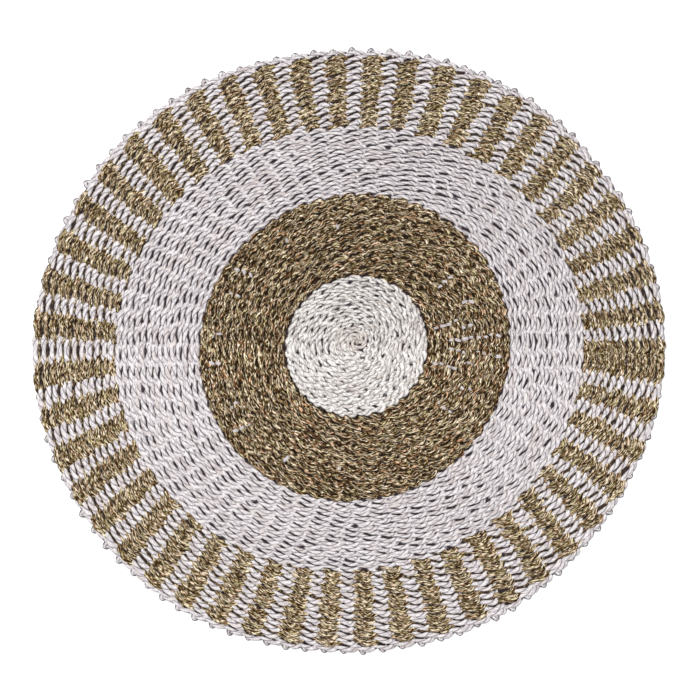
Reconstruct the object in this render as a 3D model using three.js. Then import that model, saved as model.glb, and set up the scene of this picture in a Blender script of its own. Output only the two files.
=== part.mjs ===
// Round seagrass rug, twined by hand and lying flat. Millimetres, +Z up, underside on z = 0.
//
// The body is one woven disc. Cord is twined in rounds over warps that fan out from the centre, and
// each round shows as a rib that runs right round. The ribs are raised in the points of the top face.
// The closing round is a piece of its own: white cord that turns over each warp end in a small loop.
import * as THREE from "three";

// Driving dimensions
const RIB_CREST = 12; // top of a rib above the floor
const GROOVE_DEPTH = 3; // how far the groove between two rounds lies below the crests
const BODY_RADIUS = 565; // mean radius at which the woven body meets its binding
const BINDING_GAP = 0.3; // clearance between the body and its binding
const BINDING_WIDTH = 11; // binding, from its inner wall to the line between two loops
const LOOP_COUNT = 98; // small loops round the rim, one for each warp end
const LOOP_REACH = 8; // how far the largest loop stands out past the line between two loops
const LOOP_UNEVENNESS = 0.4; // share by which the smallest loop falls short of the largest
const LOOP_SIZE_TURN = 2.4; // radians from one loop to the next in the wave that sizes them

// Faceting
const BODY_SEGMENTS = 52; // straight stretches round each rib
const LOOP_PROFILE = [0, 0.25, 1, 0.55]; // reach of one loop, at equal steps along the rim

// The bands, from the centre out. A hand-worked rug wanders: each band's outer line has a centre of
// its own, and it is a little oval, along X (oval) and between X and Y (diagonal).
const BANDS = [
  { band: "centre disc", rounds: 12, outer: 132.6, centreX: 15.4, centreY: 7.7, oval: 0.005, diagonal: 0.02 },
  { band: "natural ring", rounds: 12, outer: 287, centreX: 12.4, centreY: 5.4, oval: 0.006, diagonal: 0.018 },
  { band: "white ring", rounds: 14, outer: 425, centreX: 2.4, centreY: 3.4, oval: 0.027, diagonal: 0.011 },
  { band: "border", rounds: 11, outer: BODY_RADIUS, centreX: 0, centreY: 0, oval: 0.024, diagonal: 0.006 },
];

// The slower swells of the rim, as shares of the radius. They fade towards the centre.
const RIM_SWELLS = [
  { waves: 3, cosine: 0.0008, sine: 0.0022 },
  { waves: 5, cosine: 0.0013, sine: 0 },
  { waves: 6, cosine: 0.0034, sine: 0.0003 },
];

// The binding's section: out is the share of BINDING_WIDTH from its inner wall, up is its height.
const BINDING_SECTION = [
  { out: 0, up: 0 },
  { out: 0.86, up: 0 },
  { out: 1, up: 5.5 },
  { out: 0.6, up: 11.4 },
  { out: 0, up: 9 },
];

// Centre and ovalness of the line of weaving at a mean radius, between the bands' own lines
function weaveLineAt(radius) {
  const last = BANDS[BANDS.length - 1];
  const next = BANDS.findIndex((band) => radius < band.outer);
  if (next < 0) return last;
  if (next === 0) return BANDS[0];
  const inner = BANDS[next - 1];
  const outer = BANDS[next];
  const share = (radius - inner.outer) / (outer.outer - inner.outer);
  const between = (key) => THREE.MathUtils.lerp(inner[key], outer[key], share);
  return {
    centreX: between("centreX"),
    centreY: between("centreY"),
    oval: between("oval"),
    diagonal: between("diagonal"),
  };
}

// Place in the rug of a point given by its mean radius and its angle round the centre
function placeInRug(radius, angle) {
  const line = weaveLineAt(radius);
  const fade = (radius / BODY_RADIUS) ** 4;
  let stretch = 1 + line.oval * Math.cos(2 * angle) + line.diagonal * Math.sin(2 * angle);
  for (const swell of RIM_SWELLS) {
    const phase = swell.waves * angle;
    stretch += fade * (swell.cosine * Math.cos(phase) + swell.sine * Math.sin(phase));
  }
  return {
    x: line.centreX + radius * stretch * Math.cos(angle),
    y: line.centreY + radius * stretch * Math.sin(angle),
  };
}

// A ring or disc turned from a profile of (radius, height), with its points moved to the rug's shape.
// reachOut(radius, angle) is what a point's mean radius gains before it is placed.
function turnedToRug(profile, segments, reachOut) {
  const geometry = new THREE.LatheGeometry(profile, segments);
  geometry.rotateX(Math.PI / 2);
  const points = geometry.attributes.position;
  for (let i = 0; i < points.count; i += 1) {
    const radius = Math.hypot(points.getX(i), points.getY(i));
    const angle = Math.atan2(points.getY(i), points.getX(i));
    const place = placeInRug(radius + reachOut(radius, angle), angle);
    points.setX(i, place.x);
    points.setY(i, place.y);
  }
  geometry.computeVertexNormals();
  return geometry;
}

// Profile of the woven body, from the middle of its flat underside over the rim to its middle on top
function bodyProfile() {
  const groove = RIB_CREST - GROOVE_DEPTH;
  const profile = [new THREE.Vector2(0, 0), new THREE.Vector2(BODY_RADIUS, 0)];
  let outer = BODY_RADIUS;
  for (let i = BANDS.length - 1; i >= 0; i -= 1) {
    const inner = i > 0 ? BANDS[i - 1].outer : 0;
    const pitch = (outer - inner) / BANDS[i].rounds;
    for (let round = 0; round < BANDS[i].rounds; round += 1) {
      profile.push(new THREE.Vector2(outer - round * pitch, groove));
      profile.push(new THREE.Vector2(outer - (round + 0.5) * pitch, RIB_CREST));
    }
    outer = inner;
  }
  profile.push(new THREE.Vector2(0, groove));
  return profile;
}

function wovenBody() {
  const material = new THREE.MeshStandardMaterial({ color: 0xb8a98f, roughness: 0.85, metalness: 0 });
  const body = new THREE.Mesh(turnedToRug(bodyProfile(), BODY_SEGMENTS, () => 0), material);
  body.name = "rug_body";
  return body;
}

// How far the rim reaches out at an angle, rising and falling once for each loop
function loopReach(angle) {
  const turn = (angle / (2 * Math.PI) + 1) % 1;
  const steps = LOOP_COUNT * LOOP_PROFILE.length;
  const step = Math.round(turn * steps) % steps;
  const loop = Math.floor(step / LOOP_PROFILE.length);
  const shortfall = LOOP_UNEVENNESS * (0.5 + 0.5 * Math.sin(loop * LOOP_SIZE_TURN));
  return LOOP_REACH * (1 - shortfall) * LOOP_PROFILE[step % LOOP_PROFILE.length];
}

function edgeBinding() {
  const inner = BODY_RADIUS + BINDING_GAP;
  const profile = BINDING_SECTION.map((at) => new THREE.Vector2(inner + at.out * BINDING_WIDTH, at.up));
  profile.push(profile[0].clone());
  const shareOut = (radius) => THREE.MathUtils.clamp((radius - inner) / BINDING_WIDTH, 0, 1);
  const reachOut = (radius, angle) => loopReach(angle) * shareOut(radius);
  const material = new THREE.MeshStandardMaterial({ color: 0xe6e1e6, roughness: 0.8, metalness: 0 });
  const segments = LOOP_COUNT * LOOP_PROFILE.length;
  const binding = new THREE.Mesh(turnedToRug(profile, segments, reachOut), material);
  binding.name = "edge_binding";
  return binding;
}

// The origin is on the floor under the middle of the rug's length and width
const rug = new THREE.Group();
rug.add(wovenBody(), edgeBinding());
const middle = new THREE.Box3().setFromObject(rug).getCenter(new THREE.Vector3());
rug.position.set(-middle.x, -middle.y, 0);

export default rug;
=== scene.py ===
"""Round seagrass rug, twined by hand: its cords, its finishes and a plain stage."""

import math
from collections import namedtuple

import bpy
import numpy as np
from bpy.props import FloatProperty, FloatVectorProperty, IntProperty, PointerProperty
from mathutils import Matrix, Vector


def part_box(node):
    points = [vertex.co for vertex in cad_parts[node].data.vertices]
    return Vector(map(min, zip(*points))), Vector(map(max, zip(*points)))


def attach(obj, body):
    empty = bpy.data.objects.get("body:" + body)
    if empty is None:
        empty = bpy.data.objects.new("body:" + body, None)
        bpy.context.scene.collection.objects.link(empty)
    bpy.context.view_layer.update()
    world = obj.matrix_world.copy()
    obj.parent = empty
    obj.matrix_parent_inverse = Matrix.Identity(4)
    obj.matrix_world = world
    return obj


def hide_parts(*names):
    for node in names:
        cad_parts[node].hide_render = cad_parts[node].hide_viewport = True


bl_info = {
    "name": "Round Seagrass Rug",
    "version": (1, 0, 0),
    "blender": (4, 5, 0),
    "location": "3D View > Sidebar > Rug",
    "description": "Weaves a round seagrass rug from twisted cord and sets up its stage",
    "category": "Add Mesh",
}

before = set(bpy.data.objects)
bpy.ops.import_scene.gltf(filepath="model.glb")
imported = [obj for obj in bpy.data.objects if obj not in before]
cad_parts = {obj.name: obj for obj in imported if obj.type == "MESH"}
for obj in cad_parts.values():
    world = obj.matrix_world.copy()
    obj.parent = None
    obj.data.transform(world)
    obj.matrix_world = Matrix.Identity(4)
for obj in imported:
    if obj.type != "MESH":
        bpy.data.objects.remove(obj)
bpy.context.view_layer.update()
BODY_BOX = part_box("rug_body")
MIDDLE = BODY_BOX[1].z * 0.5  # height of the rug's middle

# Driving dimensions, in metres
BODY_RADIUS = 0.565  # mean radius at which the woven body meets its binding
BINDING_PITCH = 0.0106  # width of the closing round
BINDING_SINK = 0.0020  # by which the closing round lies lower at the rug's sides
LOOP_REACH = 0.0110  # how far the path of a loop reaches past its feet
LOOP_SPREAD = math.radians(1.4)  # from one foot of a loop to the other
LOOP_FOOT = 0.45  # where a loop's feet stand in the closing round, as a share of its width
LOOP_SKEW = 1.7  # how far a loop leans over. At 1 it stands upright.
LOOP_DROP = 0.0005  # by which a loop's head lies lower than its feet
LOOP_LEAST = 0.3  # share of their reach that loops keep at the middle line
LOOPS_FADE = 0.25  # distance from the middle line at which loops have most of their reach
LOOP_LENGTHS = (-0.30, 0.15)  # share by which loops are shorter or longer
LOOP_GIRTH = 0.12  # share by which they are thicker or thinner
SIDE_SPREAD = 0.0082  # by which the border's last round lies further out at the rug's sides
SIDE_TUCK = 0.0020  # by which the closing round lies further in there, under the last one
PHOTO_WIDTH = 1.311  # what the picture shows across at the floor
PHOTO_CENTRE = (0.0028, 0.0019)  # the picture's middle, from the middle of the rug
FLOOR_HALF = 6.0  # from the middle of the floor to its edges
KEY_PLACE = (-0.5, 0.7, 4.2)  # of the soft light
KEY_SIZE = 1.2

# The coil that the weaving starts from
HEART_RADIUS = 0.0215
HEART_TURNS = 1.3
HEART_START = math.radians(20)
HEART_BENDS = 7  # places in each arm where it bends in and out
HEART_STRAY = 0.0016  # by which it bends there
HEART_HEIGHT = 0.0012  # of the coil above the middle of the rug, before it is pressed
HEART_TUCK = 0.005  # by which its ends go down under the first round
HEART_TUCK_FROM = 0.93  # share of each arm from where it goes down
HEART_TAPER = 0.4  # share of their girth that its ends lose
HEART_TAPER_FROM = 0.9  # share of each arm from where it gets thinner
HEART_TWISTS = 6  # turns of its plies from end to end

Line = namedtuple("Line", ["outer", "centre_x", "centre_y", "oval", "diagonal"])

# Each band's outer line, from the centre out: its mean radius, its own centre, and how oval it is
# along X (oval) and between X and Y (diagonal). The first is the middle of the first round, which
# was started off centre.
LINES = {
    "heart": Line(0.0, 0.0174, 0.0190, 0.005, 0.02),
    "centre": Line(0.1326, 0.0154, 0.0077, 0.005, 0.02),
    "natural": Line(0.287, 0.0124, 0.0054, 0.006, 0.018),
    "white": Line(0.425, 0.0024, 0.0034, 0.027, 0.011),
    "border": Line(BODY_RADIUS, 0.0, 0.0, 0.024, 0.006),
}
# The number of warps that each round of a band passes. The coil takes the place of two rounds.
WARPS = {
    "centre": [0, 0, 10, 12, 14, 16, 18, 20, 22, 26, 28, 30],
    "natural": [30, 30, 36, 36, 42, 42, 42, 50, 50, 50, 56, 56],
    "white": [56] * 5 + [66] * 5 + [78] * 4,
    "border": [98] * 11,
}

# The slower swells of the rim: their waves, and their cosine and sine as shares of the radius. They
# fade towards the centre.
RIM_SWELLS = [(3, 0.0008, 0.0022), (5, 0.0013, 0.0), (6, 0.0034, 0.0003)]

# Hand-laid stripes of the border: the angle of some natural columns, counted round from the right.
# The natural strand stays on top from the 48th column to the 49th, which is the first again.
STRIPE_COLUMNS = [0, 1, 9, 17, 24, 25, 37, 47, 48, 49]
STRIPE_ANGLES = [0.2, 7, 63.5, 122, 175.5, 184.5, 273, 349, 356, 360.2]
HELD_FROM_WARP = 96
HELD_TO_WARP = 98
STRIPE_LEAN = math.radians(17)  # of the stripes for each metre outwards, times a wave round the rug
STRIPE_MIDDLE = 0.497  # mean radius at which they stand at their own angles

# Rows of white flecks in the natural ring: a row's angle in degrees, how far it turns from one
# round to the next, and its first and last round
FLECK_ROWS = [
    (3.2, 0.15, 3, 10), (8.5, 0.3, 5, 6), (12.5, 0.5, 1, 4), (24.0, -0.3, 6, 7),
    (36.0, 0.0, 4, 6), (99.0, 0.0, 7, 7), (123.0, 0.0, 8, 8), (141.0, 0.5, 8, 10),
    (156.0, 0.0, 8, 9), (175.0, 0.0, 9, 10),
]
FLECK_HEIGHT = 0.0056  # of a fleck's middle above the middle of the rug, before it is pressed
FLECK_REACH = [-0.0044, -0.0030, -0.0015, 0.0015, 0.0030, 0.0044]  # of a fleck's points outwards
FLECK_DROP = [0.0042, 0.0010, 0.0, 0.0, 0.0010, 0.0042]  # of the same points downwards
FLECK_LENGTHS = (-0.2, 0.3)  # share by which flecks are shorter or longer
FLECK_STRAY = 0.012  # radians by which they stray along their round
FLECK_LEANS = (-2.5, 1.0)  # radians by which they turn for each metre outwards
FLECK_GIRTHS = (-0.25, 0.15)  # share by which they are thinner or thicker

# How finely the cords and the ground are cut
FRONT_STEPS = 12  # of a strand over a warp
BACK_STEPS = 6  # of a strand under a warp
SECTION_POINTS = 8  # round a cord
HEART_POINTS = 50  # along each arm of the coil
LOOP_POINTS = 11
GROUND_RINGS = 49
GROUND_SECTORS = 196  # two for each warp end

# The warps inside the weaving
GROUND_OVERHANG = 0.006  # how far they reach into the closing round
GROUND_CENTRE = 0.0012  # half their thickness in the middle of the rug
GROUND_MEAN = 0.0009  # and in the rest of it
GROUND_RIDGE = 0.0005  # more at a warp, and less between two
GROUND_BORDER = 0.0007  # more in the border

# How the hand works
MIDDLE_LINE_Y = 0.0065  # where the line at which floats turn their lean round meets X = 0
MIDDLE_LINE_TILT = math.radians(0.72)  # of that line, from the X axis
TURNING_WIDTH = 0.005  # over which floats turn their lean there
LEAN_EVEN = 0.85  # share of the lean that floats have all round
LEAN_SWING = 0.50  # share that comes and goes twice round the rug
LEAN_TURN = math.radians(20)  # where that share starts
ARCH_BACK = 0.8  # share of their arch by which strands lie further in, to keep rounds in place
SWELL_SWING = 0.38  # by which strands swell more where they cross at the sides than above and below
GIRTH_SWING = 0.03  # by which they are thicker at the sides than above and below
UNEVEN_RISE = 0.14  # share by which floats stand higher or lower
UNEVEN_TWIST = 0.5  # radians by which their twist runs ahead or behind
FLOAT_RISE = 0.0030  # of a float's path above the rug's middle, once it is pressed
TWIST_ON = 300.0  # radians of turn of a closed strand, for each metre of cord used before it
OUTWARD_STEP = 0.01  # between the two places that show which way is outwards
NO_LAP = 1e6  # lap of an open strand, too long for it to be unwrapped


# Places in the rug

def woven_place(radius, angle):
    """X and Y of points given by mean radius and angle, before the rug is centred on its frame."""
    outer, *columns = zip(*LINES.values())
    centre_x, centre_y, oval, diagonal = [np.interp(radius, outer, column) for column in columns]
    stretch = 1 + oval * np.cos(2 * angle) + diagonal * np.sin(2 * angle)
    fade = (radius / BODY_RADIUS) ** 4
    for waves, cosine, sine in RIM_SWELLS:
        stretch = stretch + fade * (cosine * np.cos(waves * angle) + sine * np.sin(waves * angle))
    x = centre_x + radius * stretch * np.cos(angle)
    y = centre_y + radius * stretch * np.sin(angle)
    return x, y


def centring_shift():
    """What brings the formula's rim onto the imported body's box."""
    angle = np.linspace(0, 2 * math.pi, 721)
    low, high = BODY_BOX
    shift = []
    for axis, values in enumerate(woven_place(BODY_RADIUS, angle)):
        shift.append((low[axis] + high[axis]) / 2 - (values.min() + values.max()) / 2)
    return shift


SHIFT = centring_shift()


def place(radius, angle):
    """X and Y in the rug's frame of points given by mean radius and angle."""
    x, y = woven_place(radius, angle)
    return x + SHIFT[0], y + SHIFT[1]


def above_middle(x, y):
    """How far a place lies above the line at which floats turn their lean round."""
    return y - MIDDLE_LINE_Y - math.tan(MIDDLE_LINE_TILT) * x


def lean_side(x, y):
    """Which way floats lean: one way above the middle line and the other way below it."""
    return np.tanh(above_middle(x, y) / TURNING_WIDTH)


def lean_at(x, y):
    """How much of their lean floats show: most at the upper and lower right, little at the left."""
    angle = np.arctan2(np.abs(above_middle(x, y)), x)
    return lean_side(x, y) * (LEAN_EVEN + LEAN_SWING * np.sin(2 * (angle - LEAN_TURN)))


def at_sides(angle):
    """1 at the left and the right of the rug, and 0 above and below."""
    return np.abs(np.cos(angle)) ** 3


# Strands

def wave_through(heights, position):
    """A closed wave that passes through one height at each warp."""
    below = np.floor(position).astype(int)
    share = position - below
    ease = share * share * (3 - 2 * share)
    count = len(heights)
    return heights[below % count] * (1 - ease) + heights[(below + 1) % count] * ease


def uneven(position, count, amount, random):
    """A closed wave through one random height for each of count warps."""
    return wave_through(random.uniform(-amount, amount, count), position)


Round = namedtuple("Round", ["radius", "pitch", "warps"])  # mean radius, width, number of warps


def hand_of(random, warps):
    """Where the hand strayed in one round, along it and outwards, for both of its strands."""
    return {"along": random.uniform(-1, 1, warps), "outwards": random.uniform(-1, 1, warps)}


def even_angles(start):
    """Warps at even steps round the rug, from a start angle in degrees."""
    def angle(warp, warps, radius):
        return math.radians(start) + 2 * math.pi * warp / warps
    return angle


def stripe_angles(warp, warps, radius):
    """Angle of a border warp, through the hand-laid stripe columns, leaning a little outwards."""
    column = warp / 2
    turns = np.floor(column / STRIPE_COLUMNS[-1])
    within = column - turns * STRIPE_COLUMNS[-1]
    degrees = np.interp(within, STRIPE_COLUMNS, STRIPE_ANGLES) + 360 * turns
    angle = np.radians(degrees)
    lean = STRIPE_LEAN * (radius - STRIPE_MIDDLE)
    return angle + lean * (np.sin(2 * angle) + 0.5 * np.sin(4 * angle))


def running_phase(warp, strand):
    """Phase of a strand that goes over and under at every warp."""
    return math.pi * (warp + strand)


def held_phase(warp, strand):
    """Phase in the border, where the strands keep their sides over one warp."""
    running = [-2, HELD_FROM_WARP, HELD_TO_WARP, HELD_TO_WARP + 2]
    counted = [-2, HELD_FROM_WARP, HELD_FROM_WARP, HELD_FROM_WARP + 2]
    return math.pi * (np.interp(warp, running, counted) + strand)


def warp_steps(warps, strand, phase_of):
    """Warp positions along one round, finer where the strand is on top."""
    positions = []
    for warp in range(warps):
        on_top = math.cos(phase_of(float(warp), strand)) > 0
        steps = FRONT_STEPS if on_top else BACK_STEPS
        positions.append(np.linspace(warp - 0.5, warp + 0.5, steps, endpoint=False))
    return np.concatenate(positions)


def twist_along(warp, warps, side, turns):
    """Turn of the plies along a round, made up to whole turns so that its ends meet."""
    steps = np.diff(warp) * (side[1:] + side[:-1]) / 2
    turn = np.concatenate([[0], np.cumsum(steps)]) * turns * 2 * math.pi
    share = (warp - warp[0]) / warps
    all_round = turn[-1] / share[-1]
    whole = round(all_round / (2 * math.pi)) * 2 * math.pi
    return turn + (whole - all_round) * share


def round_strand(this_round, strand, cord, random, hand, angle_of, phase_of=running_phase):
    """One strand that goes once round the rug, over one warp and under the next."""
    radius, pitch, warps = this_round
    warp = warp_steps(warps, strand, phase_of)
    phase = phase_of(warp, strand)
    strayed = warp + cord["stray"] * wave_through(hand["along"], warp)
    angle = angle_of(strayed, warps, radius)
    line = place(radius, angle)
    side = lean_side(*line)
    lean = cord["lean"] * lean_at(*line)
    wander = cord["wander"] * wave_through(hand["outwards"], warp)
    wander = wander + uneven(warp, warps, cord["wander"] * 0.5, random)
    swing_out = cord["arch"] * (np.cos(phase) - ARCH_BACK) - lean * np.sin(phase)
    x, y = place(radius + wander + pitch * swing_out + cord["spread"] * at_sides(angle), angle)
    swing = np.cos(phase) + cord["on_top"]
    flat = cord["flat_floats"]
    height = swing / np.sqrt(swing * swing * (1 - flat) + flat)
    z = cord["rise"] * height * (1 + uneven(warp, warps, UNEVEN_RISE, random))
    z = z - cord["sink"] / cord["squash"] * at_sides(angle)
    girth = 1 + uneven(warp, warps, cord["uneven_girth"], random)
    sideways = np.cos(2 * angle)
    swell = cord["swell"] * (1 + SWELL_SWING * sideways)
    girth = girth * (1 + swell * np.sin(phase) ** 2 - cord["taper"] * side * np.sin(phase))
    girth = girth * (1 + GIRTH_SWING * sideways)
    outward, room = outwards(radius, angle)
    turn = twist_along(warp, warps, side, cord["turns"]) + uneven(warp, warps, UNEVEN_TWIST, random)
    tone = uneven(warp, warps, 1.0, random)
    points = np.stack([x, y, z], 1)
    return strand_record(points, turn, girth * room, tone, True, outward)


def outwards(radius, angle):
    """The level direction that leads from one round to the next, and the room for it as a share."""
    near = np.stack(place(radius - OUTWARD_STEP / 2, angle), 1)
    far = np.stack(place(radius + OUTWARD_STEP / 2, angle), 1)
    away = far - near
    distance = np.linalg.norm(away, axis=1, keepdims=True)
    level = np.zeros_like(distance)
    return np.concatenate([away / distance, level], 1), distance[:, 0] / OUTWARD_STEP


def strand_record(points, turn, girth, tone, closed, outward=None):
    """A strand's points with what the cord tree reads along them."""
    if outward is None:
        outward = np.zeros_like(points)
    following = np.roll(points, -1, 0) if closed else points[1:]
    spans = np.linalg.norm(following - points[: len(following)], axis=1)
    along = np.concatenate([[0], np.cumsum(spans)])
    return {
        "points": points,
        "turn": turn,
        "girth": girth,
        "tone": tone,
        "outward": outward,
        "along": along[: len(points)],
        "length": float(along[-1]),
        "lap": float(along[-1]) if closed else NO_LAP,
        "closed": closed,
    }


def path_mesh(name, strands):
    """A mesh of bare polylines, one for each strand, with the strands' values on its points.

    A strand's fibres go on where those of the strand before it end. A closed strand is turned by an
    amount that grows with the cord used before it.
    """
    points = np.concatenate([strand["points"] for strand in strands])
    edges = []
    start = 0
    used = 0.0
    for strand in strands:
        strand["along"] = strand["along"] + used
        if strand["closed"]:
            strand["turn"] = strand["turn"] + used * TWIST_ON
        used += strand["length"]
        count = len(strand["points"])
        index = np.arange(start, start + count)
        links = np.stack([index, np.roll(index, -1)], 1)
        edges.append(links if strand["closed"] else links[:-1])
        start += count
    mesh = bpy.data.meshes.new(name)
    mesh.from_pydata(points.tolist(), np.concatenate(edges).tolist(), [])
    for key in ("turn", "girth", "tone", "along", "lap"):
        parts = [np.broadcast_to(strand[key], len(strand["points"])) for strand in strands]
        values = mesh.attributes.new(key, "FLOAT", "POINT")
        values.data.foreach_set("value", np.concatenate(parts).astype(np.float32))
    outward = mesh.attributes.new("outward", "FLOAT_VECTOR", "POINT")
    directions = np.concatenate([strand["outward"] for strand in strands])
    outward.data.foreach_set("vector", directions.astype(np.float32).ravel())
    return mesh


# Node trees

def maths(operation, reflected=False):
    """A method that adds a maths node for a value and its other terms."""
    def method(self, *others):
        terms = (*others, self) if reflected else (self, *others)
        settings = {"operation": operation}
        return self.graph.node("ShaderNodeMath", settings, dict(enumerate(terms)))
    return method


class Value:
    """A socket of a node tree, so that its maths can be written as sums and products."""

    def __init__(self, graph, socket):
        self.graph = graph
        self.socket = socket

    __add__ = maths("ADD")
    __radd__ = maths("ADD", reflected=True)
    __sub__ = maths("SUBTRACT")
    __rsub__ = maths("SUBTRACT", reflected=True)
    __mul__ = maths("MULTIPLY")
    __rmul__ = maths("MULTIPLY", reflected=True)
    __truediv__ = maths("DIVIDE")
    __gt__ = maths("GREATER_THAN")
    __abs__ = maths("ABSOLUTE")
    cosine = maths("COSINE")
    sine = maths("SINE")
    at_least = maths("MAXIMUM")


class Graph:
    """A node tree under construction."""

    def __init__(self, tree):
        self.tree = tree

    def node(self, kind, settings=None, inputs=None, output=0):
        """Adds a node: its settings first, then the values or links of its sockets."""
        made = self.tree.nodes.new(kind)
        for key, setting in (settings or {}).items():
            setattr(made, key, setting)
        for key, value in (inputs or {}).items():
            if isinstance(value, Value):
                self.tree.links.new(value.socket, made.inputs[key])
            else:
                made.inputs[key].default_value = value
        return Value(self, made.outputs[output]) if made.outputs else made

    def other_output(self, value, output):
        """Another output of the node that a value comes from."""
        return Value(self, value.socket.node.outputs[output])

    def vector(self, x, y, z=0.0):
        return self.node("ShaderNodeCombineXYZ", None, {"X": x, "Y": y, "Z": z})

    def parts(self, vector):
        x = self.node("ShaderNodeSeparateXYZ", None, {"Vector": vector})
        return x, self.other_output(x, "Y"), self.other_output(x, "Z")

    def scaled(self, vector, factor):
        inputs = {0: vector, "Scale": factor}
        return self.node("ShaderNodeVectorMath", {"operation": "SCALE"}, inputs)

    def stored(self, geometry, name, value, data_type, domain):
        """The geometry with a value kept on it under a name."""
        settings = {"data_type": data_type, "domain": domain}
        inputs = {"Geometry": geometry, "Name": name, "Value": value}
        return self.node("GeometryNodeStoreNamedAttribute", settings, inputs)


# The sockets of a mix node that take two colours and give one
MIX_A = 6
MIX_B = 7
MIX_COLOUR = 2


class Finish(Graph):
    """A material under construction, with the patterns that cords share."""

    def __init__(self, name):
        self.material = bpy.data.materials.new(name)
        self.material.use_nodes = True
        super().__init__(self.material.node_tree)
        self.tree.nodes.clear()

    def mix(self, factor, first, second, blend="MIX"):
        settings = {"data_type": "RGBA", "blend_type": blend}
        inputs = {0: factor, MIX_A: first, MIX_B: second}
        return self.node("ShaderNodeMix", settings, inputs, MIX_COLOUR)

    def smooth(self, value, low, high):
        """0 below low, 1 above high and an eased rise between them."""
        settings = {"interpolation_type": "SMOOTHSTEP"}
        inputs = {"Value": value, "From Min": low, "From Max": high}
        return self.node("ShaderNodeMapRange", settings, inputs)

    def ramp(self, value, stops):
        """A value's colour, through stops of position and colour."""
        made = self.node("ShaderNodeValToRGB", None, {"Fac": value}, "Color")
        elements = made.socket.node.color_ramp.elements
        while len(elements) < len(stops):
            elements.new(0.5)
        for element, (position, colour) in zip(elements, stops):
            element.position = position
            element.color = rgba(colour)
        return made

    def noise(self, spot, scale, detail=2.0, roughness=0.5):
        inputs = {"Vector": spot, "Scale": scale, "Detail": detail, "Roughness": roughness}
        return self.node("ShaderNodeTexNoise", None, inputs)

    def position(self):
        return self.node("ShaderNodeTexCoord", None, None, "Object")

    def attribute(self, name):
        return self.node("ShaderNodeAttribute", {"attribute_name": name}, None, "Fac")

    def shade(self, colour, roughness, relief, depth, specular):
        """Closes the tree with one shader. depth is that of the relief, in metres."""
        normal = self.node("ShaderNodeBump", None, {"Height": relief, "Distance": depth})
        inputs = {"Base Color": colour, "Roughness": roughness, "Normal": normal}
        inputs["Specular IOR Level"] = specular
        shader = self.node("ShaderNodeBsdfPrincipled", None, inputs)
        self.node("ShaderNodeOutputMaterial", None, {"Surface": shader})
        return self.material


def linear(red, green, blue):
    """An 8-bit screen colour as the linear colour that a socket takes."""
    levels = np.array([red, green, blue])
    bright = ((levels / 255 + 0.055) / 1.055) ** 2.4
    return tuple(np.where(levels > 10, bright, levels / 3294.6).tolist())


def rgba(colour):
    return (*colour, 1.0)


# The tree that twists a cord along every path: its inputs with their defaults, and its nodes

CORD_INPUTS = {
    "Cord radius": 0.005, "Ply groove": 0.4, "Squash": 0.6, "Middle height": 0.006, "Overlap": 0.0,
    "Finish": None,
}


def named(graph, name, kind="FLOAT"):
    inputs = {"Name": name}
    return graph.node("GeometryNodeInputNamedAttribute", {"data_type": kind}, inputs)


def on_faces(graph, value):
    settings = {"data_type": "FLOAT", "domain": "FACE"}
    return graph.node("GeometryNodeFieldOnDomain", settings, {"Value": value})


def unwrapped(graph, value, period):
    """A wrapped value on face corners, raised by its period where its face crosses the seam."""
    return value + period * ((on_faces(graph, value) - value) > period * 0.25)


def cord_section(graph, groove):
    """The outline of two plies laid side by side, with its share of the way round stored on it."""
    inputs = {"Resolution": SECTION_POINTS, "Radius": 1.0}
    circle = graph.node("GeometryNodeCurvePrimitiveCircle", {"mode": "RADIUS"}, inputs)
    around = graph.node("GeometryNodeInputIndex") / SECTION_POINTS
    lobe = abs((around * (2 * math.pi)).cosine())
    scaled = graph.scaled(graph.node("GeometryNodeInputPosition"), groove + (1 - groove) * lobe)
    outline = graph.node("GeometryNodeSetPosition", None, {"Geometry": circle, "Position": scaled})
    return graph.stored(outline, "around", around, "FLOAT", "POINT")


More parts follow.
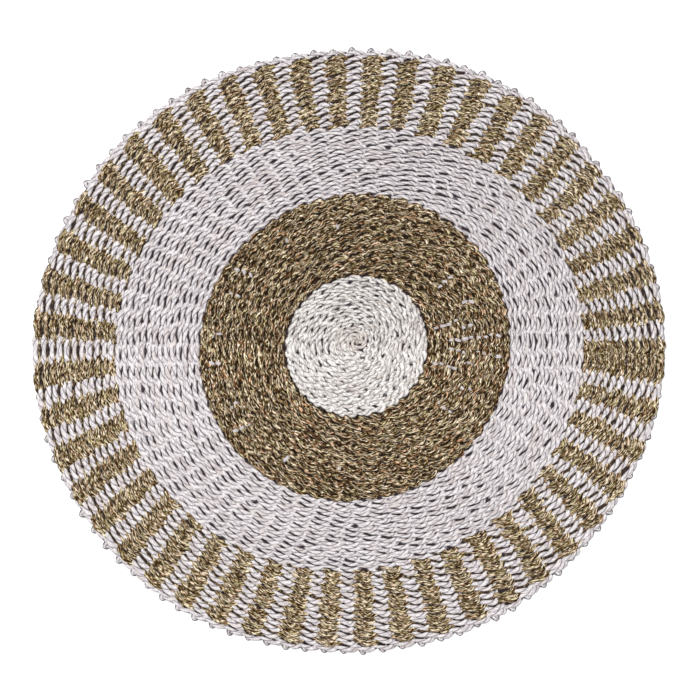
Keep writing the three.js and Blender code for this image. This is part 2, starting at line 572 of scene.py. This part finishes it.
def cord_tree():
    """Geometry Nodes that twist a two-ply cord along each polyline of a mesh."""
    tree = bpy.data.node_groups.new("twisted cord", "GeometryNodeTree")
    for way in ("OUTPUT", "INPUT"):
        tree.interface.new_socket(name="Geometry", in_out=way, socket_type="NodeSocketGeometry")
    for name, default in CORD_INPUTS.items():
        kind = "NodeSocketMaterial" if default is None else "NodeSocketFloat"
        socket = tree.interface.new_socket(name=name, in_out="INPUT", socket_type=kind)
        socket.default_value = default
    graph = Graph(tree)
    paths = graph.node("NodeGroupInput", None, None, "Geometry")
    given = {name: graph.other_output(paths, name) for name in CORD_INPUTS}
    curve = graph.node("GeometryNodeMeshToCurve", None, {"Mesh": paths})
    curve = graph.node("GeometryNodeSetCurveNormal", {"mode": "Z_UP"}, {"Curve": curve})
    inputs = {"Curve": curve, "Tilt": named(graph, "turn")}
    curve = graph.node("GeometryNodeSetCurveTilt", None, inputs)
    section = cord_section(graph, given["Ply groove"])
    girth = named(graph, "girth") * given["Cord radius"]
    sweep = {"Curve": curve, "Profile Curve": section, "Scale": girth, "Fill Caps": True}
    cord = graph.node("GeometryNodeCurveToMesh", None, sweep)
    along = unwrapped(graph, named(graph, "along"), named(graph, "lap"))
    around = unwrapped(graph, named(graph, "around"), 1.0)
    cord = graph.stored(cord, "UVMap", graph.vector(along, around), "FLOAT2", "CORNER")
    x, y, z = graph.parts(graph.node("GeometryNodeInputPosition"))
    rise = z * given["Squash"]
    up = rise + given["Middle height"]
    pressed = graph.vector(x, y, up.at_least(0.0))
    slid = graph.scaled(named(graph, "outward", "FLOAT_VECTOR"), rise * given["Overlap"])
    moved = {"Geometry": cord, "Position": pressed, "Offset": slid}
    cord = graph.node("GeometryNodeSetPosition", None, moved)
    for name in ("girth", "along", "lap", "around", "outward"):
        cord = graph.node("GeometryNodeRemoveAttribute", None, {"Geometry": cord, "Name": name})
    cord = graph.node("GeometryNodeSetShadeSmooth", None, {"Geometry": cord})
    cord = graph.node("GeometryNodeRealizeInstances", None, {"Geometry": cord})
    inputs = {"Geometry": cord, "Material": given["Finish"]}
    cord = graph.node("GeometryNodeSetMaterial", None, inputs)
    graph.node("NodeGroupOutput", None, {"Geometry": cord})
    return tree


def set_input(modifier, name, value):
    """Sets a modifier's input, which Blender knows by the socket's identifier."""
    modifier[modifier.node_group.interface.items_tree[name].identifier] = value


def in_scene(name, data):
    """A new object, linked to the scene."""
    made = bpy.data.objects.new(name, data)
    bpy.context.scene.collection.objects.link(made)
    return made


def corded_piece(name, strands, cord, finish):
    """Twists cord along the strands and leaves a plain mesh that rides with the rug."""
    white = finish in WHITE_CORDS
    material = finish_named(finish, white_finish if white else natural_finish)
    paths = path_mesh(name + "_paths", strands)
    piece = in_scene(name, paths)
    twist = piece.modifiers.new("twist", "NODES")
    twist.node_group = bpy.data.node_groups.get("twisted cord") or cord_tree()
    set_input(twist, "Cord radius", cord["radius"])
    set_input(twist, "Ply groove", cord["ply_groove"])
    set_input(twist, "Squash", cord["squash"])
    set_input(twist, "Middle height", MIDDLE)
    set_input(twist, "Overlap", cord["overlap"])
    set_input(twist, "Finish", material)
    depsgraph = bpy.context.evaluated_depsgraph_get()
    mesh = bpy.data.meshes.new_from_object(piece.evaluated_get(depsgraph), depsgraph=depsgraph)
    piece.modifiers.clear()
    piece.data = mesh
    bpy.data.meshes.remove(paths)
    mesh.name = name
    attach(piece, "root")
    return piece


# Settings that a user would change

class RugCordSettings(bpy.types.PropertyGroup):
    """Sizes of the two cords and how they are twined."""

    white_radius: FloatProperty(
        name="White cord radius", description="Half the width of the whitened cord",
        default=0.0044, min=0.001, unit="LENGTH",
    )
    natural_radius: FloatProperty(
        name="Natural cord radius", description="Half the width of the natural cord",
        default=0.0062, min=0.001, unit="LENGTH",
    )
    lean: FloatProperty(
        name="Lean", description="Swing of a float to either side, as a share of its round's width",
        default=0.27, min=0.0, max=0.5,
    )
    turns: FloatProperty(
        name="Twist", description="Turns of the two plies in one float", default=1.0, min=0.0,
    )
    seed: IntProperty(name="Seed", description="Fixes the unevenness of the hand", default=11)


class RugFinishSettings(bpy.types.PropertyGroup):
    """Colours of the cords."""

    white: FloatVectorProperty(
        name="White cord", description="Colour of the whitened cord in the light",
        default=linear(222, 217, 219), subtype="COLOR",
    )
    natural: FloatVectorProperty(
        name="Natural cord", description="Middle colour of the natural cord",
        default=linear(126, 102, 64), subtype="COLOR",
    )
    # Painted shade: the colour that white cords take in the hollows between them
    shadow: FloatVectorProperty(
        name="Hollows", description="Colour in the hollows between white cords",
        default=linear(70, 62, 72), subtype="COLOR",
    )


class RugStageSettings(bpy.types.PropertyGroup):
    """Floor, lights and camera."""

    lens: FloatProperty(
        name="Lens", description="Focal length of the camera",
        default=85.0, min=20.0, unit="CAMERA",
    )
    key_power: FloatProperty(
        name="Key light", description="Power of the soft light",
        default=185.0, min=0.0, unit="POWER",
    )
    fill: FloatProperty(
        name="Fill", description="Strength of the light from all round", default=0.55, min=0.0,
    )


# Finishes

def cord_coordinates(finish):
    """Metres along the cord, the plies' swing from side to side, and a place for fibres.

    The fibres of a ply lie nearly straight along the cord, so their place turns back the twist.
    """
    along, share, _ = finish.parts(finish.node("ShaderNodeUVMap", {"uv_map": "UVMap"}))
    around = share * (2 * math.pi)
    straight = around + finish.attribute("turn")
    return along, abs(around.cosine()), (straight.cosine(), straight.sine())


def fibre_noise(finish, along, sides, length, cells, detail=2.0, roughness=0.5):
    """Streaks of a length in metres, with about so many cells across the cord's face."""
    spot = finish.vector(along * (1 / length), sides[0] * (cells / 2), sides[1] * (cells / 2))
    return finish.noise(spot, 1.0, detail, roughness)


def hollow_shade(finish, near, far):
    """Mask of painted shade: 1 in the hollows between cords, halfway through the rug, and 0 on the
    cords' crowns.
    """
    height = finish.parts(finish.position())[2]
    return 1 - finish.smooth(abs(height - MIDDLE), near, far)


# The white cord at four places in the rug. hollows and grooves are how strongly painted shade
# darkens the hollows between cords, the outlines of the rim loops and the grooves between plies.
# deep is how far from the middle height the painted hollow shade stays darkest, and where it ends.
# streaks is the span of the fibres' pattern over which they lose their grey. tint multiplies the
# cord's own colour.
# grey is that of the streaks and of the painted groove shade.
WHITE_CORDS = {
    "whitened_cord": {
        "hollows": 1.0, "grooves": 0.95, "deep": (0.0010, 0.0041), "streaks": (0.38, 0.54),
        "tint": (1.0, 1.0, 0.985), "grey": linear(138, 129, 138),
    },
    "disc_cord": {
        "hollows": 1.0, "grooves": 0.95, "deep": (0.0010, 0.0041), "streaks": (0.42, 0.56),
        "tint": (1.12, 1.13, 1.08), "grey": linear(132, 127, 122),
    },
    "heart_cord": {
        "hollows": 0.8, "grooves": 0.4, "deep": (0.0, 0.0030), "streaks": (0.38, 0.54),
        "tint": (0.95, 0.91, 0.84), "grey": linear(134, 126, 118),
    },
    "rim_cord": {
        "hollows": 0.95, "grooves": 0.2, "deep": (0.0014, 0.0032), "streaks": (0.34, 0.52),
        "tint": (1.0, 1.0, 1.0), "grey": linear(138, 129, 138),
    },
}


def white_finish(settings, name):
    kind = WHITE_CORDS[name]
    finish = Finish(name)
    along, swing, sides = cord_coordinates(finish)
    fibres = fibre_noise(finish, along, sides, length=0.0080, cells=6.0, detail=1.5, roughness=0.6)
    patches = fibre_noise(finish, along, sides, length=0.05, cells=1.5)
    # groove masks the grooves between plies, sunk in the relief and darkened with painted shade
    groove = 1 - finish.smooth(swing, 0.0, 0.40)
    # deep masks the hollows between cords, where shade is painted
    deep = hollow_shade(finish, *kind["deep"])
    tone = finish.attribute("tone")
    light = rgba([share * tint for share, tint in zip(settings.white, kind["tint"])])
    worn = rgba(linear(206, 195, 190))
    grey = rgba(kind["grey"])
    colour = finish.mix(finish.smooth(patches, 0.50, 0.68), light, worn)
    colour = finish.mix(finish.smooth(tone, 0.1, 1.0) * 0.25, colour, worn)
    colour = finish.mix((1 - finish.smooth(fibres, *kind["streaks"])) * 0.7, colour, grey)
    # Painted shade: grey in the ply grooves, then the hollows colour between cords
    colour = finish.mix(groove * kind["grooves"], colour, grey)
    colour = finish.mix(deep * kind["hollows"], colour, rgba(settings.shadow))
    roughness = 0.62 + fibres * 0.2
    relief = fibres * 0.8 - groove * 0.7
    return finish.shade(colour, roughness, relief, depth=0.0020, specular=0.3)


# The natural cord at two places in the rug: the contrast of its blades and what is added to their
# tone, the share by which some of them are rosy, and the colour of the painted shade in its hollows
NATURAL_CORDS = {
    "seagrass_cord": {
        "contrast": 1.12, "lighter": -0.012, "rosy": 0.9, "hollow_shade": linear(26, 9, 0),
    },
    "border_seagrass": {
        "contrast": 0.90, "lighter": 0.012, "rosy": 0.5, "hollow_shade": linear(52, 40, 32),
    },
}


def natural_finish(settings, name):
    kind = NATURAL_CORDS[name]
    finish = Finish(name)
    along, swing, sides = cord_coordinates(finish)
    blades = fibre_noise(finish, along, sides, length=0.0078, cells=7.0, detail=1.5, roughness=0.6)
    hues = fibre_noise(finish, along, sides, length=0.014, cells=3.0, detail=1.0)
    # groove and deep mask the ply grooves and the hollows between cords, where shade is painted
    groove = 1 - finish.smooth(swing, 0.05, 0.50)
    deep = hollow_shade(finish, 0.0014, 0.0050)
    shade = (blades - 0.5) * kind["contrast"] + (0.5 + kind["lighter"])
    colour = finish.ramp(shade, [
        (0.41, linear(30, 11, 0)),
        (0.46, linear(64, 43, 14)),
        (0.51, settings.natural),
        (0.56, linear(178, 160, 128)),
        (0.61, linear(242, 230, 210)),
    ])
    olive = rgba(linear(200, 198, 128))
    rosy = rgba(linear(224, 186, 156))
    dark = rgba(linear(52, 36, 16))
    colour = finish.mix(finish.smooth(hues, 0.52, 0.62) * 0.6, colour, olive, "MULTIPLY")
    rosiness = (1 - finish.smooth(hues, 0.38, 0.48)) * kind["rosy"]
    colour = finish.mix(rosiness, colour, rosy, "MULTIPLY")
    # Painted shade in the ply grooves and in the hollows between cords
    colour = finish.mix(groove * 0.35, colour, dark)
    colour = finish.mix(deep * 0.95, colour, rgba(kind["hollow_shade"]))
    roughness = 0.42 + blades * 0.25
    relief = blades - groove * 0.3
    return finish.shade(colour, roughness, relief, depth=0.0030, specular=0.1)


# Warps, grey under the white cords and brown among the natural ones, made dark also as painted
# shade in the gaps between floats
def warp_and_shade_finish(_, name):
    finish = Finish(name)
    grain = finish.noise(finish.position(), scale=260.0, detail=3.0, roughness=0.6)
    light = finish.smooth(grain, 0.4, 0.7)
    grey = finish.mix(light, rgba(linear(38, 32, 40)), rgba(linear(74, 64, 64)))
    brown = finish.mix(light, rgba(linear(26, 16, 6)), rgba(linear(60, 42, 20)))
    colour = finish.mix(finish.attribute("among_natural"), grey, brown)
    return finish.shade(colour, 0.85 + grain * 0.1, grain, depth=0.0008, specular=0.2)


def floor_finish():
    finish = Finish("pale_floor")
    grain = finish.noise(finish.position(), scale=3.0)
    colour = finish.mix(grain, rgba((0.92, 0.92, 0.92)), rgba((0.94, 0.94, 0.94)))
    return finish.shade(colour, 0.7 + grain * 0.1, grain, depth=0.0001, specular=0.1)


def finish_named(name, build):
    """A finish, built when it is first asked for."""
    return bpy.data.materials.get(name) or build(bpy.context.scene.rug_finish, name)


# Cords

def cord_kind(settings, kind, **changes):
    """Sizes of one kind of cord. What is neither a length nor the plies' turns is a share."""
    white = kind == "white"
    cord = {
        "radius": settings.white_radius if white else settings.natural_radius,
        "ply_groove": 0.66,
        "squash": 0.70 if white else 0.58,
        "lean": settings.lean,
        "turns": settings.turns,
        "flat_floats": 0.35,
        "swell": 0.22 if white else 0.12,
        "taper": 0.12,
        "wander": 0.0010,
        "stray": 0.14,
        "arch": 0.20,
        "on_top": 0.4,
        "overlap": 0.35,
        "spread": 0.0,
        "sink": 0.0,
        "uneven_girth": 0.17,
    }
    cord.update(changes)
    cord["rise"] = FLOAT_RISE / cord["squash"]
    return cord


def band_rounds(name):
    """The rounds of a band that have warps."""
    names = list(LINES)
    inner = LINES[names[names.index(name) - 1]].outer
    pitch = (LINES[name].outer - inner) / len(WARPS[name])
    middles = [inner + (index + 0.5) * pitch for index in range(len(WARPS[name]))]
    return [Round(middle, pitch, warps) for middle, warps in zip(middles, WARPS[name]) if warps]


def plain_rounds(rounds, cord, random, start, turn=0.0):
    """Both strands of each round, in one kind of cord.

    start is the angle of the first warp in degrees, and turn is what each next round adds to it.
    """
    strands = []
    for index, this_round in enumerate(rounds):
        hand = hand_of(random, this_round.warps)
        angles = even_angles(start + turn * index)
        for strand in (0, 1):
            strands.append(round_strand(this_round, strand, cord, random, hand, angles))
    return strands


class TwiningStep:
    """What the steps that work in cord share. Each adds its own hand to the seed."""

    def execute(self, context):
        settings = context.scene.rug_cord
        self.twine(settings, np.random.default_rng(settings.seed + self.hand))
        return {"FINISHED"}


class RUG_OT_centre(TwiningStep, bpy.types.Operator):
    """Coil the heart of the rug and twine the white rounds of the centre disc"""

    bl_idname = "rug.centre"
    bl_label = "Centre Disc"
    hand = 0

    def twine(self, settings, random):
        cord = cord_kind(
            settings, "white", radius=0.0056, lean=0.22, ply_groove=0.52, overlap=-0.25,
            stray=0.20, wander=0.0011, uneven_girth=0.16, swell=0.20,
        )
        strands = plain_rounds(band_rounds("centre"), cord, random, 3.0, turn=13.0)
        corded_piece("centre_rounds", strands, cord, "disc_cord")
        coil = cord_kind(settings, "white", radius=0.0049, squash=0.85, ply_groove=0.5, overlap=0.0)
        corded_piece("heart_coil", [heart_strand(random)], coil, "heart_cord")


def end_share(share, start):
    """0 up to a start, and then rising evenly to 1 at the end."""
    return np.clip((share - start) / (1 - start), 0, 1)


def heart_strand(random):
    """The start of the weaving: a cord folded in an S, its two arms wound round each other."""
    share = np.linspace(0, 1, HEART_POINTS)
    bends = np.linspace(0, 1, HEART_BENDS)
    angle = HEART_START + share * HEART_TURNS * 2 * math.pi
    z = HEART_HEIGHT - HEART_TUCK * end_share(share, HEART_TUCK_FROM)
    arms = []
    for start in (math.pi, 0):
        astray = np.interp(share, bends, random.uniform(-HEART_STRAY, HEART_STRAY, len(bends)))
        reach = HEART_RADIUS * share ** 0.9 + astray * share * (1 - share) * 4
        arms.append(np.stack([*place(reach, angle + start), z], 1))
    points = np.concatenate([arms[0][::-1], arms[1][1:]])
    along = np.linspace(-1, 1, len(points))
    turn = along * math.pi * HEART_TWISTS
    girth = 1 - HEART_TAPER * end_share(np.abs(along), HEART_TAPER_FROM)
    return strand_record(points, turn, girth, 0.0, False)


def fleck_strand(angle, radius, random):
    """A stub of white cord that shows between two natural floats."""
    reach = np.array(FLECK_REACH) * (1 + random.uniform(*FLECK_LENGTHS))
    strayed = angle + random.uniform(-FLECK_STRAY, FLECK_STRAY)
    x, y = place(radius + reach, strayed + reach * random.uniform(*FLECK_LEANS))
    points = np.stack([x, y, FLECK_HEIGHT - np.array(FLECK_DROP)], 1)
    girth = 1 + random.uniform(*FLECK_GIRTHS)
    return strand_record(points, 0.0, girth, 0.0, False)


def fleck_strands(random):
    """The flecks of every row, with the rows of the upper half mirrored in the lower half."""
    rounds = band_rounds("natural")
    strands = []
    for start, turn, first, last in FLECK_ROWS:
        for index in range(first, last + 1):
            upper = math.radians(start + turn * index)
            for angle in (upper, 2 * MIDDLE_LINE_TILT - upper):
                strands.append(fleck_strand(angle, rounds[index].radius, random))
    return strands


class RUG_OT_natural_ring(TwiningStep, bpy.types.Operator):
    """Twine the natural ring and set the white flecks in it"""

    bl_idname = "rug.natural_ring"
    bl_label = "Natural Ring"
    hand = 1

    def twine(self, settings, random):
        cord = cord_kind(settings, "natural", stray=0.20)
        strands = plain_rounds(band_rounds("natural"), cord, random, 1.0, turn=0.25)
        corded_piece("natural_ring", strands, cord, "seagrass_cord")
        stub = cord_kind(settings, "white", radius=0.0030, squash=0.9, overlap=0.0)
        corded_piece("white_flecks", fleck_strands(random), stub, "rim_cord")


class RUG_OT_white_ring(TwiningStep, bpy.types.Operator):
    """Twine the white ring, its inner and its outer rounds"""

    bl_idname = "rug.white_ring"
    bl_label = "White Ring"
    hand = 2

    def twine(self, settings, random):
        cord = cord_kind(settings, "white", lean=0.32, swell=0.14)
        rounds = band_rounds("white")
        half = len(rounds) // 2
        for name, part in (("inner", rounds[:half]), ("outer", rounds[half:])):
            strands = plain_rounds(part, cord, random, 2.0)
            corded_piece("white_ring_" + name, strands, cord, "whitened_cord")


class RUG_OT_border(TwiningStep, bpy.types.Operator):
    """Twine the border, where a natural and a white strand take turns on top and make stripes"""

    bl_idname = "rug.border"
    bl_label = "Striped Border"
    hand = 3

    def twine(self, settings, random):
        natural = cord_kind(settings, "natural", on_top=0.67, radius=0.0071, swell=0.0)
        white = cord_kind(settings, "white", on_top=0.13, radius=0.0050, swell=0.16, lean=0.32)
        rounds = band_rounds("border")
        hands = [hand_of(random, this_round.warps) for this_round in rounds]
        for name, strand, cord, finish in (
            ("border_natural", 0, natural, "border_seagrass"),
            ("border_white", 1, white, "whitened_cord"),
        ):
            strands = []
            for index, (this_round, hand) in enumerate(zip(rounds, hands)):
                spread = SIDE_SPREAD * (index / (len(rounds) - 1)) ** 2
                spread_cord = dict(cord, spread=spread)
                strands.append(round_strand(
                    this_round, strand, spread_cord, random, hand, stripe_angles, held_phase,
                ))
            corded_piece(name, strands, cord, finish)


def loop_strand(warp, warps, random):
    """A small loop of cord that turns over one warp end at the rim."""
    share = np.linspace(0, 1, LOOP_POINTS)
    angle = stripe_angles(np.array([float(warp)]), warps, BODY_RADIUS)[0]
    foot = place(BODY_RADIUS, angle)
    side = lean_side(*foot)
    fade = LOOP_LEAST + (1 - LOOP_LEAST) * math.tanh(abs(above_middle(*foot)) / LOOPS_FADE)
    reach = LOOP_REACH * fade * (1 + random.uniform(*LOOP_LENGTHS))
    late = share ** LOOP_SKEW
    early = 1 - (1 - share) ** LOOP_SKEW
    rise = np.sin(math.pi * (late * (1 + side) + early * (1 - side)) / 2)
    angles = angle + LOOP_SPREAD * (share - 0.5)
    feet = BODY_RADIUS + BINDING_PITCH * LOOP_FOOT - SIDE_TUCK * at_sides(angle)
    x, y = place(feet + reach * rise, angles)
    points = np.stack([x, y, -LOOP_DROP * rise], 1)
    turn = share * 2 * math.pi
    girth = 1 + random.uniform(-LOOP_GIRTH, LOOP_GIRTH)
    tone = random.uniform(-1, 1)
    return strand_record(points, turn, girth, tone, False)


class RUG_OT_binding(TwiningStep, bpy.types.Operator):
    """Twine the closing round and turn a small loop over each warp end"""

    bl_idname = "rug.binding"
    bl_label = "Edge Binding"
    hand = 4

    def twine(self, settings, random):
        cord = cord_kind(settings, "white", spread=-SIDE_TUCK, sink=BINDING_SINK)
        warps = WARPS["border"][-1]
        closing = Round(BODY_RADIUS + BINDING_PITCH * 0.5, BINDING_PITCH, warps)
        hand = hand_of(random, warps)
        strands = [
            round_strand(closing, strand, cord, random, hand, stripe_angles) for strand in (0, 1)
        ]
        loops = [loop_strand(warp, warps, random) for warp in range(warps)]
        binding = corded_piece("edge_cord", strands, cord, "whitened_cord")
        thin = dict(cord, radius=0.0045, squash=0.85, ply_groove=0.85)
        corded_piece("rim_loops", loops, thin, "rim_cord")
        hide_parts("edge_binding")


def ground_mesh(name):
    """The flat fan of warps between the front and the back floats, as one closed disc. Its dark
    colour is partly the warps' own and partly painted shade for the gaps between floats.
    """
    rings = GROUND_RINGS
    sectors = GROUND_SECTORS
    radius = np.linspace(0, 1, rings + 1)[1:] * (BODY_RADIUS + GROUND_OVERHANG)
    angle = np.arange(sectors) * 2 * math.pi / sectors
    ridges = GROUND_MEAN + GROUND_RIDGE * np.cos(angle * sectors / 2)
    vertices = []
    for side in (1, -1):
        vertices.append([*place(0.0, 0.0), MIDDLE + side * GROUND_CENTRE])
        for r in radius:
            x, y = place(r, angle)
            z = MIDDLE + side * (ridges + GROUND_BORDER * (r > LINES["white"].outer))
            vertices.extend(np.stack([x, y, z], 1).tolist())
    side_count = 1 + rings * sectors
    last = 1 + (rings - 1) * sectors
    faces = []
    for j in range(sectors):
        k = (j + 1) % sectors
        for start, way in ((0, 1), (side_count, -1)):
            faces.append([start, start + 1 + j, start + 1 + k][::way])
            for a in range(start + 1, start + last, sectors):
                b = a + sectors
                faces.append([a + j, b + j, b + k, a + k][::way])
        faces.append([last + j, side_count + last + j, side_count + last + k, last + k])
    mesh = bpy.data.meshes.new(name)
    mesh.from_pydata(vertices, [], faces)
    ring_radius = np.concatenate([[0], np.repeat(radius, sectors)])
    in_ring = (ring_radius > LINES["centre"].outer) & (ring_radius < LINES["natural"].outer)
    among = in_ring + 0.5 * (ring_radius > LINES["white"].outer)
    shade = mesh.attributes.new("among_natural", "FLOAT", "POINT")
    shade.data.foreach_set("value", np.tile(among, 2).astype(np.float32))
    return mesh


class RUG_OT_warp_ground(bpy.types.Operator):
    bl_idname = "rug.warp_ground"
    bl_label = "Warps"

    def execute(self, context):
        mesh = ground_mesh("warp_ground")
        mesh.materials.append(finish_named("hidden_warps", warp_and_shade_finish))
        mesh.shade_smooth()
        ground = in_scene("warp_ground", mesh)
        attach(ground, "root")
        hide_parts("rug_body")
        return {"FINISHED"}


# Stage

class RUG_OT_stage(bpy.types.Operator):
    """Set up the pale floor, the soft light and the camera that looks straight down"""

    bl_idname = "rug.stage"
    bl_label = "Stage"

    def execute(self, context):
        scene = context.scene
        settings = scene.rug_stage
        camera = bpy.data.cameras.new("camera")
        camera.lens = settings.lens
        viewer = in_scene("camera", camera)
        viewer.location = (*PHOTO_CENTRE, PHOTO_WIDTH * camera.lens / camera.sensor_width)
        scene.camera = viewer
        mesh = bpy.data.meshes.new("floor")
        signs = [(-1, -1), (1, -1), (1, 1), (-1, 1)]
        corners = [(FLOOR_HALF * right, FLOOR_HALF * up, 0) for right, up in signs]
        mesh.from_pydata(corners, [], [(0, 1, 2, 3)])
        mesh.materials.append(floor_finish())
        floor = in_scene("floor", mesh)
        light = bpy.data.lights.new("key_light", "AREA")
        light.energy = settings.key_power
        light.size = KEY_SIZE
        lamp = in_scene("key_light", light)
        lamp.location = KEY_PLACE
        lamp.rotation_euler = (-Vector(KEY_PLACE)).to_track_quat("-Z", "Y").to_euler()
        world = bpy.data.worlds.new("studio")
        world.use_nodes = True
        background = world.node_tree.nodes["Background"].inputs
        background["Color"].default_value = (1, 1, 1, 1)
        background["Strength"].default_value = settings.fill
        scene.world = world
        scene.view_settings.view_transform = "Standard"
        return {"FINISHED"}


class RUG_PT_panel(bpy.types.Panel):
    """The steps that make the rug, in order"""

    bl_idname = "RUG_PT_panel"
    bl_label = "Round Seagrass Rug"
    bl_space_type = "VIEW_3D"
    bl_region_type = "UI"
    bl_category = "Rug"

    def draw(self, context):
        layout = self.layout
        for group, kind in SETTINGS.items():
            for name in kind.__annotations__:
                layout.prop(getattr(context.scene, group), name)
        for step in STEPS:
            layout.operator(step.bl_idname)


STEPS = (
    RUG_OT_stage, RUG_OT_centre, RUG_OT_natural_ring, RUG_OT_white_ring, RUG_OT_border,
    RUG_OT_binding, RUG_OT_warp_ground,
)
SETTINGS = {
    "rug_cord": RugCordSettings,
    "rug_finish": RugFinishSettings,
    "rug_stage": RugStageSettings,
}
CLASSES = (*SETTINGS.values(), *STEPS, RUG_PT_panel)


def register():
    for kind in CLASSES:
        bpy.utils.register_class(kind)
    for group, kind in SETTINGS.items():
        setattr(bpy.types.Scene, group, PointerProperty(type=kind))


def unregister():
    for group in SETTINGS:
        delattr(bpy.types.Scene, group)
    for kind in reversed(CLASSES):
        bpy.utils.unregister_class(kind)


def main():
    """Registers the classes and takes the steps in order."""
    register()
    for step in STEPS:
        getattr(bpy.ops.rug, step.bl_idname.split(".")[1])()


if __name__ == "__main__":
    main()
